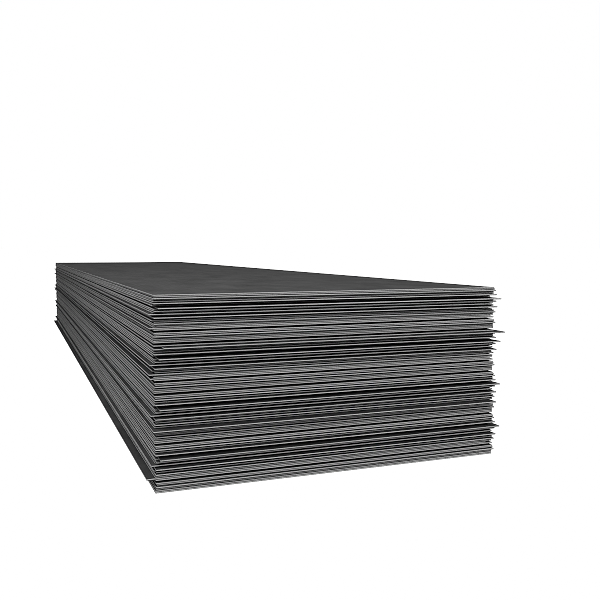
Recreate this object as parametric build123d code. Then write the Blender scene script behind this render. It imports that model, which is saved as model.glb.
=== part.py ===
from build123d import *
import os

# A stack of hot-rolled steel sheets, cut to length and laid one on another in four like lifts.
# X runs across the sheets, Y along them and Z up. The origin is the middle of the underside
# of the bottom sheet, and the ends that face the viewer are at -Y. All sizes are in mm.

# One sheet, as the shear leaves it
sheet_width = 1250.0
sheet_length = 5450.0
sheet_thickness = 4.5
rollover = 0.6  # radius that the blade draws down along the top edges

# The stack
air_gap = 0.4  # what scale and slight waves keep two sheets apart
bottom_lift_lacks = 1  # the bottom lift is this many sheets short
sheets_per_pack = 4  # neighbours in a lift that are kept together as one piece of the model

# How far behind the bottom lift each lift was set down, the top lift first
lift_setback = [3, 3, 0, 0]

# How one lift was laid, its top sheet first. Each line is a sheet's place in its lift: how far
# its end stands out towards the viewer, and how far the sheet has slid to the right. The same
# hands and the same stops laid every lift, so all lifts are alike.
lift_lay = [
    (4, 0),
    (3, 3),
    (14, 0),
    (-2, 2),
    (0, 1),
    (21, -1),
    (-27, 3),
    (-23, 3),
    (31, 12),
    (-5, 3),
    (14, 3),
    (-4, 1),
    (11, -13),
    (-8, 6),
    (26, -1),
    (-29, 3),
    (-2, -4),
    (1, 4),
    (13, 1),
    (-2, 2),
    (-1, 0),
    (0, -11),
    (0, 2),
    (-43, 9),
    (3, 2),
    (1, 5),
    (13, 1),
    (-4, 3),
    (-2, 2),
    (0, 0),
    (0, 0),
    (-33, 8),
]

# Sheets that slid on their own, by number from the top of the stack, with their places
strays = {
    33: (34, 27),
    50: (8, -16),
    85: (40, -10),
    117: (0, -27),
}

lift_count = len(lift_setback)
sheets_per_lift = len(lift_lay)
sheet_count = lift_count * sheets_per_lift - bottom_lift_lacks
pitch = sheet_thickness + air_gap
top_sheet_z = (sheet_count - 1) * pitch


def make_sheet():
    """One flat sheet on the origin, square at its corners, with its top edges drawn down."""
    blank = Box(
        sheet_width,
        sheet_length,
        sheet_thickness,
        align=(Align.CENTER, Align.CENTER, Align.MIN),
    )
    top_edges = blank.faces().sort_by(Axis.Z)[-1].edges()
    return fillet(top_edges, rollover)


def lay_sheet(sheet, number):
    """A copy of the sheet where it lies, by its number from the top of the stack."""
    lift, place = divmod(number, sheets_per_lift)
    out, right = lift_lay[place]
    out -= lift_setback[lift]
    if number in strays:
        out, right = strays[number]
    return Pos(right, -out, top_sheet_z - number * pitch) * sheet


def build_pack(sheet, first, last):
    """The sheets from first up to last, as one piece of the model."""
    return Compound(children=[lay_sheet(sheet, number) for number in range(first, last)])


os.makedirs("parts", exist_ok=True)
sheet = make_sheet()
for lift in range(lift_count):
    lift_start = lift * sheets_per_lift
    lift_end = min(lift_start + sheets_per_lift, sheet_count)
    for pack, first in enumerate(range(lift_start, lift_end, sheets_per_pack), start=1):
        last = min(first + sheets_per_pack, lift_end)
        export_step(build_pack(sheet, first, last), f"parts/lift_{lift + 1}_pack_{pack}.step")
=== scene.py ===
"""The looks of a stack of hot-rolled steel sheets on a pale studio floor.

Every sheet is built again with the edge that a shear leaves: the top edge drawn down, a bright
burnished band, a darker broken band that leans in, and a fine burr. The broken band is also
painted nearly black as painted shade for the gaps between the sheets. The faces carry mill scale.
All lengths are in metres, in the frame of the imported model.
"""

import logging
import math
from dataclasses import dataclass, field
from enum import Enum

import bpy
from mathutils import Euler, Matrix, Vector


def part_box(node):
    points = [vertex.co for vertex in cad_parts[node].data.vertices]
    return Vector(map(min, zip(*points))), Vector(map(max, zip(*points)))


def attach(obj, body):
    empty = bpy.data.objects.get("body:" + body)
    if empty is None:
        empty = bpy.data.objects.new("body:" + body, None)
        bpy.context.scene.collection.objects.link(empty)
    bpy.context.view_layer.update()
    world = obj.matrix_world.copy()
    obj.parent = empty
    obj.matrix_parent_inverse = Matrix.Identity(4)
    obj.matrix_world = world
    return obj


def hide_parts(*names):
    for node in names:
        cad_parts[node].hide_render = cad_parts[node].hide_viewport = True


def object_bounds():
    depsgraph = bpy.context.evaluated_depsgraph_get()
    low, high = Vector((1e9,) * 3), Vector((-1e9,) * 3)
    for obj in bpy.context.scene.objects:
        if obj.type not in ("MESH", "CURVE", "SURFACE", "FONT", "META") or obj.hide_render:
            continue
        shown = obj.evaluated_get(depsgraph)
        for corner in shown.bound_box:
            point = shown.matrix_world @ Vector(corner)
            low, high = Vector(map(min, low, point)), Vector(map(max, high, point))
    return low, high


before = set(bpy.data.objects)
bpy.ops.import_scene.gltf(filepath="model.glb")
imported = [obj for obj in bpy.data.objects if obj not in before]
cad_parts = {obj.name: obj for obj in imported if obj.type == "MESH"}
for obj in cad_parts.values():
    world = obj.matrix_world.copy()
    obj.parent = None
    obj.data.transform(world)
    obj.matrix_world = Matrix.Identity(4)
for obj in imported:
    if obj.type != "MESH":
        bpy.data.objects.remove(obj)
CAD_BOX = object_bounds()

logging.basicConfig(level=logging.INFO, format="%(levelname)s %(name)s: %(message)s")
log = logging.getLogger("sheet_stack")

Socket = bpy.types.NodeSocket
Point = tuple[float, float, float]
GridPlace = tuple[int, int]

MM = 0.001
WHITE = (1.0, 1.0, 1.0, 1.0)
NOISE_LOW, NOISE_MIDDLE, NOISE_HIGH = 0.3, 0.5, 0.7  # nearly all noise lies between low and high
BODY = "root"
NEAR_END = CAD_BOX[0].y  # how far towards the viewer the stack reaches


class Zone(Enum):
    """The finish that a face of a sheet carries. The value is the index of its material."""

    FACE = 0
    CUT = 1


@dataclass(frozen=True)
class Grain:
    """How fine and how rough a noise is.

    Attributes:
        stretch: How many grains fit in a metre along X, Y and Z.
        detail: How many finer layers lie over the first.
        grit: How strong each finer layer is beside the one before.
    """

    stretch: Vector
    detail: float
    grit: float = 0.5


class Graph:
    """Adds and joins shader nodes in one material or world."""

    def __init__(self, tree: bpy.types.NodeTree) -> None:
        """Start on an emptied node tree.

        Args:
            tree: The node tree to fill.
        """
        self.tree = tree
        self.tree.nodes.clear()

    def feed(self, socket: Socket, value: object) -> None:
        """Set an input, or join it where the value is another node's output.

        Args:
            socket: The input.
            value: A number, vector, colour or output socket.
        """
        if isinstance(value, Socket):
            self.tree.links.new(value, socket)
        else:
            socket.default_value = value

    def add(self, kind: str, **inputs: object) -> bpy.types.Node:
        """Add a node and feed its inputs.

        Args:
            kind: The node's type name, without the words Shader and Node.
            inputs: Values or sockets by the input's name, with underscores for spaces.

        Returns:
            The new node.
        """
        node = self.tree.nodes.new(f"ShaderNode{kind}")
        for name, value in inputs.items():
            self.feed(node.inputs[name.replace("_", " ")], value)
        return node

    def attribute(self, name: str) -> Socket:
        """Read a number that the vertices carry.

        Args:
            name: The attribute's name.

        Returns:
            The number.
        """
        node = self.add("Attribute")
        node.attribute_name = name
        return node.outputs["Fac"]

    def noise(self, place: Socket, grain: Grain) -> Socket:
        """Noise from 0 to 1.

        Args:
            place: The point that the noise is read at.
            grain: How fine and how rough it is.

        Returns:
            The noise value.
        """
        spot = self.add("Mapping", Vector=place, Scale=grain.stretch).outputs["Vector"]
        noise = self.add("TexNoise", Vector=spot, Scale=1.0, Detail=grain.detail, Roughness=grain.grit)
        return noise.outputs["Fac"]

    def math(self, operation: str, first: object, second: object) -> Socket:
        """One arithmetic step.

        Args:
            operation: The step, by the Math node's own word for it.
            first: A number or a socket.
            second: A number or a socket.

        Returns:
            The result.
        """
        node = self.add("Math")
        node.operation = operation
        for socket, value in zip(node.inputs, (first, second)):
            self.feed(socket, value)
        return node.outputs["Value"]

    def blend(self, parts: list[tuple[Socket, float]]) -> Socket:
        """Add values up by their shares.

        Args:
            parts: Each value with its share.

        Returns:
            The sum.
        """
        total, *others = [self.math("MULTIPLY", value, share) for value, share in parts]
        for part in others:
            total = self.math("ADD", total, part)
        return total

    def spread(self, value: Socket, low: float, high: float) -> Socket:
        """Map the range that a noise keeps to onto another.

        Args:
            value: The noise value.
            low: The result at NOISE_LOW and below.
            high: The result at NOISE_HIGH and above.

        Returns:
            The mapped value.
        """
        node = self.add(
            "MapRange", Value=value, From_Min=NOISE_LOW, From_Max=NOISE_HIGH, To_Min=low, To_Max=high
        )
        return node.outputs["Result"]

    def ramp(self, value: Socket, stops: list[tuple[float, float]]) -> Socket:
        """A grey that changes with a value.

        Args:
            value: The value that is looked up.
            stops: Places on the ramp with their grey level.

        Returns:
            The grey as a colour.
        """
        node = self.add("ValToRGB", Fac=value)
        elements = node.color_ramp.elements
        while len(elements) < len(stops):
            elements.new(0.5)  # it moves to its own place below
        for element, (place, grey) in zip(elements, stops):
            element.position = place
            element.color = (grey, grey, grey, 1.0)
        return node.outputs["Color"]

    def shade(self, grey: Socket, factor: Socket) -> Socket:
        """Make a grey lighter or darker.

        Args:
            grey: The grey as a colour.
            factor: What its level is multiplied by.

        Returns:
            The new grey.
        """
        node = self.add("VectorMath")
        node.operation = "SCALE"
        self.feed(node.inputs[0], grey)
        self.feed(node.inputs["Scale"], factor)
        return node.outputs["Vector"]

    def bump(self, height: Socket, depth: float, strength: float) -> Socket:
        """A bumped normal from a height between 0 and 1, which stands for depth metres."""
        node = self.add("Bump", Height=height, Distance=depth, Strength=strength)
        return node.outputs["Normal"]

    def principled(self, **inputs: object) -> None:
        """Add a Principled shader that goes straight to the material's output."""
        shader = self.add("BsdfPrincipled", **inputs)
        self.add("OutputMaterial", Surface=shader.outputs["BSDF"])


def empty_material(name: str) -> tuple[bpy.types.Material, Graph]:
    """Make a material that has no nodes yet.

    Args:
        name: The material's name.

    Returns:
        The material and the graph that fills it.
    """
    material = bpy.data.materials.new(name)
    material.use_nodes = True
    return material, Graph(material.node_tree)


def put_in_scene(name: str, data: bpy.types.ID) -> bpy.types.Object:
    """Make an object and link it to the scene.

    Args:
        name: The object's name.
        data: Its mesh, light or camera.

    Returns:
        The new object.
    """
    thing = bpy.data.objects.new(name, data)
    bpy.context.scene.collection.objects.link(thing)
    return thing


@dataclass(frozen=True)
class MillScale:
    """The dark oxide skin that hot rolling leaves on a sheet's faces."""

    dark: float = 0.0125
    light: float = 0.056
    roughness: tuple[float, float] = (0.50, 0.68)
    specular: float = 0.08
    streaks: Grain = Grain(Vector((420.0, 5.0, 60.0)), detail=5.0)
    bands: Grain = Grain(Vector((11.0, 0.35, 1.0)), detail=2.0)
    blotches: Grain = Grain(Vector((9.0, 4.5, 2.0)), detail=6.0, grit=0.68)
    streak_share: float = 0.2
    band_share: float = 0.1
    blotch_share: float = 0.7
    streak_depth: float = 0.02 * MM
    streak_strength: float = 0.25

    def material(self) -> bpy.types.Material:
        """Build the finish.

        Returns:
            The material, with rolling streaks, broad bands and cloudy blotches.
        """
        material, graph = empty_material("mill_scale")
        place = graph.add("TexCoord").outputs["Object"]
        streak = graph.noise(place, self.streaks)
        band = graph.noise(place, self.bands)
        blotch = graph.noise(place, self.blotches)
        clouds = graph.blend([
            (streak, self.streak_share),
            (band, self.band_share),
            (blotch, self.blotch_share),
        ])
        grey = graph.ramp(graph.spread(clouds, 0.0, 1.0), [(0.0, self.dark), (1.0, self.light)])
        graph.principled(
            # the grey is scaled by each sheet's tone, which carries painted light on the lowest sheets
            Base_Color=graph.shade(grey, graph.attribute("tone_and_painted_light")),
            Roughness=graph.spread(streak, *self.roughness),
            Specular_IOR_Level=self.specular,
            Normal=graph.bump(streak, self.streak_depth, self.streak_strength),
        )
        return material


@dataclass(frozen=True)
class CutEdge:
    """Bare steel where the shear went through: burnished above, broken below.

    The greys follow one another down the edge, and the places where they change are shares of
    the sheet's thickness from its top face. The broken band is the duller fracture, painted nearly
    black as painted shade for the gaps between the sheets.
    """

    rolled: float = 0.10
    burnished: float = 0.58
    # the fracture's dull grey pushed nearly to black: painted shade for the gaps between sheets
    broken_and_painted_gap_shade: float = 0.012
    rolled_end: float = 0.22
    burnish_end: float = 0.64
    blur: float = 0.14
    waver: float = 0.10
    scores: Grain = Grain(Vector((900.0, 900.0, 6.0)), detail=3.0)
    drift: Grain = Grain(Vector((3.0, 3.0, 90.0)), detail=2.0)
    score_levels: tuple[float, float] = (0.86, 1.12)
    drift_levels: tuple[float, float] = (0.92, 1.06)
    score_depth: float = 0.05 * MM
    score_strength: float = 0.35
    roughness: tuple[float, float] = (0.38, 0.60)
    metallic: float = 0.25
    specular: float = 0.1

    def material(self) -> bpy.types.Material:
        """Build the finish.

        Returns:
            The material, which reads how far down the edge it is from the depth attribute.
        """
        material, graph = empty_material("cut_edge")
        place = graph.add("TexCoord").outputs["Object"]
        score = graph.noise(place, self.scores)
        drift = graph.noise(place, self.drift)
        waver = graph.math("MULTIPLY", graph.math("SUBTRACT", drift, NOISE_MIDDLE), self.waver)
        grey = graph.ramp(
            graph.math("ADD", graph.attribute("depth"), waver),
            [
                (0.0, self.rolled),
                (self.rolled_end, self.burnished),
                (self.burnish_end - self.blur, self.burnished),
                # painted shade: the broken band turns nearly black down to the underside
                (self.burnish_end + self.blur, self.broken_and_painted_gap_shade),
                (1.0, self.broken_and_painted_gap_shade),
            ],
        )
        level = graph.math(
            "MULTIPLY",
            graph.spread(score, *self.score_levels),
            graph.spread(drift, *self.drift_levels),
        )
        # each sheet's tone, with painted light that brightens the lowest sheets
        level = graph.math("MULTIPLY", level, graph.attribute("tone_and_painted_light"))
        graph.principled(
            Base_Color=graph.shade(grey, level),
            Metallic=self.metallic,
            Specular_IOR_Level=self.specular,
            Roughness=graph.spread(score, *self.roughness),
            Normal=graph.bump(score, self.score_depth, self.score_strength),
        )
        return material


@dataclass(frozen=True)
class Ring:
    """One line round a sheet, in the section of its edge.

    Attributes:
        inset: How far it lies in from the sheet's outline.
        height: How far it lies over the sheet's underside.
        zone: The finish of the strip between this ring and the one before.
    """

    inset: float
    height: float
    zone: Zone = Zone.CUT


@dataclass(frozen=True)
class ShearedRim:
    """The section of a sheet's edge, from the top face round to the underside."""

    thickness: float = 4.5 * MM
    rollover: float = 0.6 * MM
    rollover_steps: int = 4
    burnish_share: float = 0.64
    break_lean: float = 0.35 * MM
    burr_height: float = 0.10 * MM
    burr_width: float = 0.25 * MM

    def rings(self) -> list[Ring]:
        """The lines that the edge is made of.

        Returns:
            The rings, from the rim of the top face to that of the underside.
        """
        rolled = []
        for step in range(self.rollover_steps + 1):
            angle = math.pi / 2 * step / self.rollover_steps
            inset = self.rollover * (1 - math.sin(angle))
            height = self.thickness - self.rollover * (1 - math.cos(angle))
            rolled.append(Ring(inset, height))
        return rolled + [
            Ring(0.0, self.thickness * (1 - self.burnish_share)),
            Ring(self.break_lean, self.burr_height),
            Ring(self.break_lean, 0.0),
            Ring(self.break_lean + self.burr_width, self.burr_height, Zone.FACE),
        ]


@dataclass(frozen=True)
class Waviness:
    """How far from flat the sheets are: a slow wave along them and a ripple across."""

    height: float = 0.11 * MM
    along: float = 2.3
    across: float = 1.1
    skew: float = 0.31
    wave_share: float = 0.6
    ripple_share: float = 0.4
    phase_step: float = 2.4
    ripple_phase: float = 1.7

    def lift(self, x: float, y: float, number: int) -> float:
        """How much a point of a sheet rises.

        Args:
            x: Place across the stack.
            y: Place along the stack.
            number: The sheet's number, which sets where its waves start.

        Returns:
            The rise in metres, between minus and plus the height.
        """
        phase = self.phase_step * number
        wave = math.sin(2 * math.pi * y / self.along + phase)
        ripple = math.sin(2 * math.pi * (x / self.across + self.skew * y) + self.ripple_phase * phase)
        return self.height * (self.wave_share * wave + self.ripple_share * ripple)


@dataclass(frozen=True)
class SheetToneAndPaintedLight:
    """How the greys differ from sheet to sheet: by chance, and by painted light on the lowest sheets.
    """

    scatter: float = 0.06
    step: float = 12.9898
    start: float = 4.1
    # painted light: brightens the lowest sheets, which get less light from above
    painted_light_gain: float = 0.32
    painted_light_power: int = 4
    lowest: int = 126

    def of(self, number: int) -> float:
        """The factor on one sheet's greys.

        Args:
            number: The sheet's number from the top of the stack.

        Returns:
            A factor near 1, which rises towards the lowest sheet as painted light.
        """
        chance = math.sin(self.step * number + self.start)
        depth = number / self.lowest
        return 1.0 + self.scatter * chance + self.painted_light_gain * depth ** self.painted_light_power


@dataclass
class MeshData:
    """Lists that grow into one mesh."""

    points: list[Point] = field(default_factory=list)
    depths: list[float] = field(default_factory=list)
    tones_and_painted_light: list[float] = field(default_factory=list)
    faces: list[tuple[int, ...]] = field(default_factory=list)
    zones: list[Zone] = field(default_factory=list)

    def build(self, name: str, materials: list[bpy.types.Material]) -> bpy.types.Object:
        """Turn the lists into a piece in the scene.

        Args:
            name: The piece's name.
            materials: One material for each zone, in the order of their values.

        Returns:
            The new object.
        """
        mesh = bpy.data.meshes.new(name)
        mesh.from_pydata(self.points, [], self.faces)
        for material in materials:
            mesh.materials.append(material)
        mesh.polygons.foreach_set("material_index", [zone.value for zone in self.zones])
        for label, values in (("depth", self.depths), ("tone_and_painted_light", self.tones_and_painted_light)):
            mesh.attributes.new(label, "FLOAT", "POINT").data.foreach_set("value", values)
        mesh.validate()
        return put_in_scene(name, mesh)


@dataclass(frozen=True)
class Sheet:
    """One flat sheet with its sheared rim, at the place that the frame gives."""

    low: Vector
    high: Vector
    number: int
    rim: ShearedRim
    waviness: Waviness | None
    # one factor for each sheet: chance tone and painted light
    tones_and_painted_light: SheetToneAndPaintedLight = SheetToneAndPaintedLight()
    across_steps: int = 5
    along_steps: int = 22

    def _point(self, place: GridPlace, ring: Ring) -> Point:
        """Find a grid point on the level of a ring.

        Args:
            place: The grid place, as its column across the sheet and its row along it.
            ring: The ring, which gives the height and how far in the grid ends.

        Returns:
            The point.
        """
        column, row = place
        x0, x1 = self.low.x + ring.inset, self.high.x - ring.inset
        y0, y1 = self.low.y + ring.inset, self.high.y - ring.inset
        x = x0 + (x1 - x0) * column / self.across_steps
        y = y0 + (y1 - y0) * row / self.along_steps
        rise = self.waviness.lift(x, y, self.number) if self.waviness else 0.0
        return x, y, self.low.z + ring.height + rise

    def _outline(self) -> list[GridPlace]:
        """The grid places round the sheet.

        Returns:
            The places, anticlockwise from the front left corner.
        """
        columns, rows = self.across_steps, self.along_steps
        front = [(column, 0) for column in range(columns)]
        right = [(columns, row) for row in range(rows)]
        back = [(column, rows) for column in range(columns, 0, -1)]
        left = [(0, row) for row in range(rows, 0, -1)]
        return front + right + back + left

    def _add_point(self, data: MeshData, point: Point, depth: float) -> int:
        """Add a vertex.

        Args:
            data: The mesh that grows.
            point: Where the vertex lies.
            depth: How far down the edge it lies, as a share of the thickness.

        Returns:
            The vertex's index.
        """
        data.points.append(point)
        data.depths.append(depth)
        data.tones_and_painted_light.append(self.tones_and_painted_light.of(self.number))
        return len(data.points) - 1

    def _add_rim(self, data: MeshData) -> tuple[dict[GridPlace, int], dict[GridPlace, int]]:
        """Add the rings of the rim.

        Args:
            data: The mesh that grows.

        Returns:
            The vertices of the top ring and of the bottom ring, by grid place.
        """
        outline = self._outline()
        rings = self.rim.rings()
        loops = []
        for ring in rings:
            depth = 1.0 - ring.height / self.rim.thickness
            loops.append([
                self._add_point(data, self._point(place, ring), depth) for place in outline
            ])
        for ring, upper, lower in zip(rings[1:], loops, loops[1:]):
            for here in range(len(outline)):
                after = (here + 1) % len(outline)
                data.faces.append((upper[here], lower[here], lower[after], upper[after]))
                data.zones.append(ring.zone)
        return dict(zip(outline, loops[0])), dict(zip(outline, loops[-1]))

    def _add_face(self, data: MeshData, edge: dict[GridPlace, int], ring: Ring, up: bool) -> None:
        """Fill one side of the sheet with a grid that starts at a ring of the rim.

        Args:
            data: The mesh that grows.
            edge: The ring's vertices by grid place.
            ring: The ring.
            up: Whether the face looks up.
        """
        index = dict(edge)
        for column in range(1, self.across_steps):
            for row in range(1, self.along_steps):
                point = self._point((column, row), ring)
                index[column, row] = self._add_point(data, point, 0.0)
        for column in range(self.across_steps):
            for row in range(self.along_steps):
                corners = [(column, row), (column + 1, row), (column + 1, row + 1), (column, row + 1)]
                loop = tuple(index[corner] for corner in corners)
                data.faces.append(loop if up else loop[::-1])
                data.zones.append(Zone.FACE)

    def add_to(self, data: MeshData) -> None:
        """Add the whole sheet to a mesh.

        Args:
            data: The mesh that grows.
        """
        rings = self.rim.rings()
        top, bottom = self._add_rim(data)
        self._add_face(data, top, rings[0], True)
        self._add_face(data, bottom, rings[-1], False)


@dataclass(frozen=True)
class Pack:
    """The few sheets that share one node of the frame."""

    node: str
    rim: ShearedRim
    waviness: Waviness
    materials: list[bpy.types.Material]
    air_gap: float = 0.4 * MM

    @property
    def pitch(self) -> float:
        """How far one sheet lies above the next."""
        return self.rim.thickness + self.air_gap

    def _sheet_boxes(self) -> list[tuple[Vector, Vector]]:
        """Find each sheet in the node's mesh by its height.

        Returns:
            The lowest and highest corner of each sheet, the lowest sheet first.
        """
        low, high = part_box(self.node)
        count = round((high.z - low.z + self.air_gap) / self.pitch)
        groups: list[list[Vector]] = [[] for _ in range(count)]
        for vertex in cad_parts[self.node].data.vertices:
            groups[int((vertex.co.z - low.z + self.air_gap / 2) / self.pitch)].append(vertex.co)
        return [(Vector(map(min, *group)), Vector(map(max, *group))) for group in groups]

    def build(self) -> bpy.types.Object:
        """Build the pack's sheets as one piece that stands for the node.

        The top and bottom sheets of the stack stay flat, so that the piece keeps to the box.

        Returns:
            The piece, riding on the stack's body.
        """
        data = MeshData()
        floor, top = CAD_BOX[0].z, CAD_BOX[1].z
        for low, high in self._sheet_boxes():
            outermost = low.z < floor + self.air_gap or high.z > top - self.air_gap
            waves = None if outermost else self.waviness
            number = round((top - high.z) / self.pitch)
            Sheet(low, high, number, self.rim, waves).add_to(data)
        piece = data.build(f"{self.node}_sheets", self.materials)
        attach(piece, BODY)
        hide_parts(self.node)
        return piece


@dataclass(frozen=True)
class SheetStack:
    """All the packs of the stack, with the two finishes that their sheets share."""

    rim: ShearedRim = ShearedRim()
    waviness: Waviness = Waviness()
    scale: MillScale = MillScale()
    edge: CutEdge = CutEdge()

    def build(self) -> list[bpy.types.Object]:
        """Build each pack.

        Returns:
            The pieces, one for each node of the frame.
        """
        materials = [self.scale.material(), self.edge.material()]
        nodes = sorted(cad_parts)
        return [Pack(node, self.rim, self.waviness, materials).build() for node in nodes]


@dataclass(frozen=True)
class PaleFloor:
    """A floor that runs out past the horizon, white to the camera and grey to the stack."""

    reach: float = 400.0
    grey: float = 0.26
    glow: float = 1.0
    roughness: float = 0.9

    def build(self) -> None:
        """Lay the floor under the stack."""
        material, graph = empty_material("studio_floor")
        seen = graph.add("LightPath").outputs["Is Camera Ray"]
        graph.principled(
            Base_Color=(self.grey, self.grey, self.grey, 1.0),
            Roughness=self.roughness,
            Specular_IOR_Level=0.0,
            Emission_Color=WHITE,
            Emission_Strength=graph.math("MULTIPLY", seen, self.glow),
        )
        mesh = bpy.data.meshes.new("studio_floor")
        near, far = -self.reach, self.reach
        corners = [(near, near, 0.0), (far, near, 0.0), (far, far, 0.0), (near, far, 0.0)]
        mesh.from_pydata(corners, [], [(0, 1, 2, 3)])
        mesh.materials.append(material)
        floor = put_in_scene("studio_floor", mesh)


@dataclass(frozen=True)
class SkyGlow:
    """Soft light from above, with a white backdrop where the camera sees past the floor.

    Attributes:
        overhead: The level of the light from straight above.
        horizon: The level of the light from the horizon.
        full_height: The Z of the direction where the level overhead is reached.
    """

    overhead: float = 0.68
    horizon: float = 0.0
    full_height: float = 1.0

    def build(self) -> None:
        """Make the world and join its nodes."""
        world = bpy.data.worlds.new("studio_sky")
        world.use_nodes = True
        bpy.context.scene.world = world
        graph = Graph(world.node_tree)
        seen = graph.add("LightPath").outputs["Is Camera Ray"]
        up = graph.add("SeparateXYZ", Vector=graph.add("TexCoord").outputs["Generated"]).outputs["Z"]
        climb = graph.add("MapRange", Value=up, From_Min=0.0, From_Max=self.full_height)
        graph.feed(climb.inputs["To Min"], self.horizon)
        graph.feed(climb.inputs["To Max"], self.overhead)
        glow = graph.add("Background", Color=WHITE, Strength=climb.outputs["Result"])
        backdrop = graph.add("Background", Color=WHITE, Strength=1.0)
        mix = graph.add("MixShader", Fac=seen)
        for socket, light in zip(mix.inputs[1:], (glow, backdrop)):
            graph.feed(socket, light.outputs["Background"])
        graph.add("OutputWorld", Surface=mix.outputs["Shader"])


@dataclass(frozen=True)
class SoftBox:
    """A rectangular studio light that faces a point on the stack."""

    name: str
    place: Vector
    aim: Vector
    width: float
    height: float
    watts: float

    def build(self) -> None:
        """Hang the light and turn it to its aim."""
        light = bpy.data.lights.new(self.name, "AREA")
        light.shape = "RECTANGLE"
        light.size, light.size_y = self.width, self.height
        light.energy = self.watts
        lamp = put_in_scene(self.name, light)
        lamp.location = self.place
        lamp.rotation_euler = (self.aim - self.place).to_track_quat("-Z", "Y").to_euler()


FRONT_BOX = SoftBox(
    name="front_box",
    place=Vector((1.6, NEAR_END - 4.4, 3.1)),
    aim=Vector((0.0, NEAR_END, 0.3)),
    width=4.0,
    height=3.2,
    watts=215.0,
)
LEFT_BOX = SoftBox(
    name="left_box",
    place=Vector((-3.0, NEAR_END + 0.1, 3.3)),
    aim=Vector((-0.6, NEAR_END + 0.1, 0.3)),
    width=1.6,
    height=0.7,
    watts=84.0,
)
OVERHEAD_BOX = SoftBox(
    name="overhead_box",
    place=Vector((0.8, 2.0, 6.0)),
    aim=Vector((0.8, 2.0, 0.0)),
    width=6.0,
    height=11.0,
    watts=222.0,
)


@dataclass(frozen=True)
class PictureCamera:
    """The camera of the picture. Its turn and tilt are in degrees from a level look along +Y."""

    place: Vector = Vector((-1.0227, -4.9921, 0.7638))
    turn: float = -21.255
    tilt: float = -4.00
    lens: float = 44.32
    sensor: float = 36.0
    far_clip: float = 2000.0

    def build(self) -> None:
        """Stand the camera where the picture was taken from."""
        camera = bpy.data.cameras.new("picture_camera")
        camera.sensor_width = self.sensor
        camera.lens = self.lens
        camera.clip_end = self.far_clip
        viewer = put_in_scene("picture_camera", camera)
        viewer.location = self.place
        viewer.rotation_euler = Euler((math.radians(90.0 + self.tilt), 0.0, math.radians(self.turn)))
        bpy.context.scene.camera = viewer


@dataclass(frozen=True)
class Sharpening:
    """The light sharpening that a picture gets when it is made smaller for a shop page."""

    strength: float = 0.12
    gamma: float = 2.2

    def build(self) -> None:
        """Join the nodes that treat the finished picture."""
        scene = bpy.context.scene
        scene.use_nodes = True
        tree = scene.node_tree
        tree.nodes.clear()
        picture = tree.nodes.new("CompositorNodeRLayers").outputs["Image"]
        picture = self._cap_at_white(tree, picture)
        picture = self._bend(tree, picture, 1 / self.gamma)
        sharpen = tree.nodes.new("CompositorNodeFilter")
        sharpen.filter_type = "SHARPEN_DIAMOND"
        sharpen.inputs["Fac"].default_value = self.strength
        tree.links.new(picture, sharpen.inputs["Image"])
        picture = self._bend(tree, sharpen.outputs["Image"], self.gamma)
        tree.links.new(picture, tree.nodes.new("CompositorNodeComposite").inputs["Image"])

    @staticmethod
    def _cap_at_white(tree: bpy.types.NodeTree, picture: Socket) -> Socket:
        """Bring what is brighter than white down to white.

        Args:
            tree: The node tree that treats the picture.
            picture: The picture so far.

        Returns:
            The capped picture.
        """
        cap = tree.nodes.new("CompositorNodeMixRGB")
        cap.blend_type = "DARKEN"
        share, under, over = cap.inputs[:3]
        share.default_value = 1.0
        over.default_value = WHITE
        tree.links.new(picture, under)
        return cap.outputs["Image"]

    @staticmethod
    def _bend(tree: bpy.types.NodeTree, picture: Socket, gamma: float) -> Socket:
        """Raise the picture to a power.

        Args:
            tree: The node tree that treats the picture.
            picture: The picture so far.
            gamma: The power.

        Returns:
            The bent picture.
        """
        node = tree.nodes.new("CompositorNodeGamma")
        node.inputs["Gamma"].default_value = gamma
        tree.links.new(picture, node.inputs["Image"])
        return node.outputs["Image"]


@dataclass(frozen=True)
class Studio:
    """The white room round the stack."""

    floor: PaleFloor = PaleFloor()
    sky: SkyGlow = SkyGlow()
    lights: tuple[SoftBox, ...] = (FRONT_BOX, LEFT_BOX, OVERHEAD_BOX)
    camera: PictureCamera = PictureCamera()
    sharpening: Sharpening = Sharpening()

    def build(self) -> None:
        """Set up the whole room."""
        scene = bpy.context.scene
        scene.view_settings.view_transform = "Standard"
        scene.cycles.pixel_filter_type = "BOX"
        self.floor.build()
        self.sky.build()
        for light in self.lights:
            light.build()
        self.camera.build()
        self.sharpening.build()


def main() -> None:
    """Build the stack and its studio, and report each piece."""
    for piece in SheetStack().build():
        log.info("%s: %d faces", piece.name, len(piece.data.polygons))
    studio = Studio()
    studio.build()
    log.info("studio: a floor, a sky and %d lights", len(studio.lights))


if __name__ == "__main__":
    main()
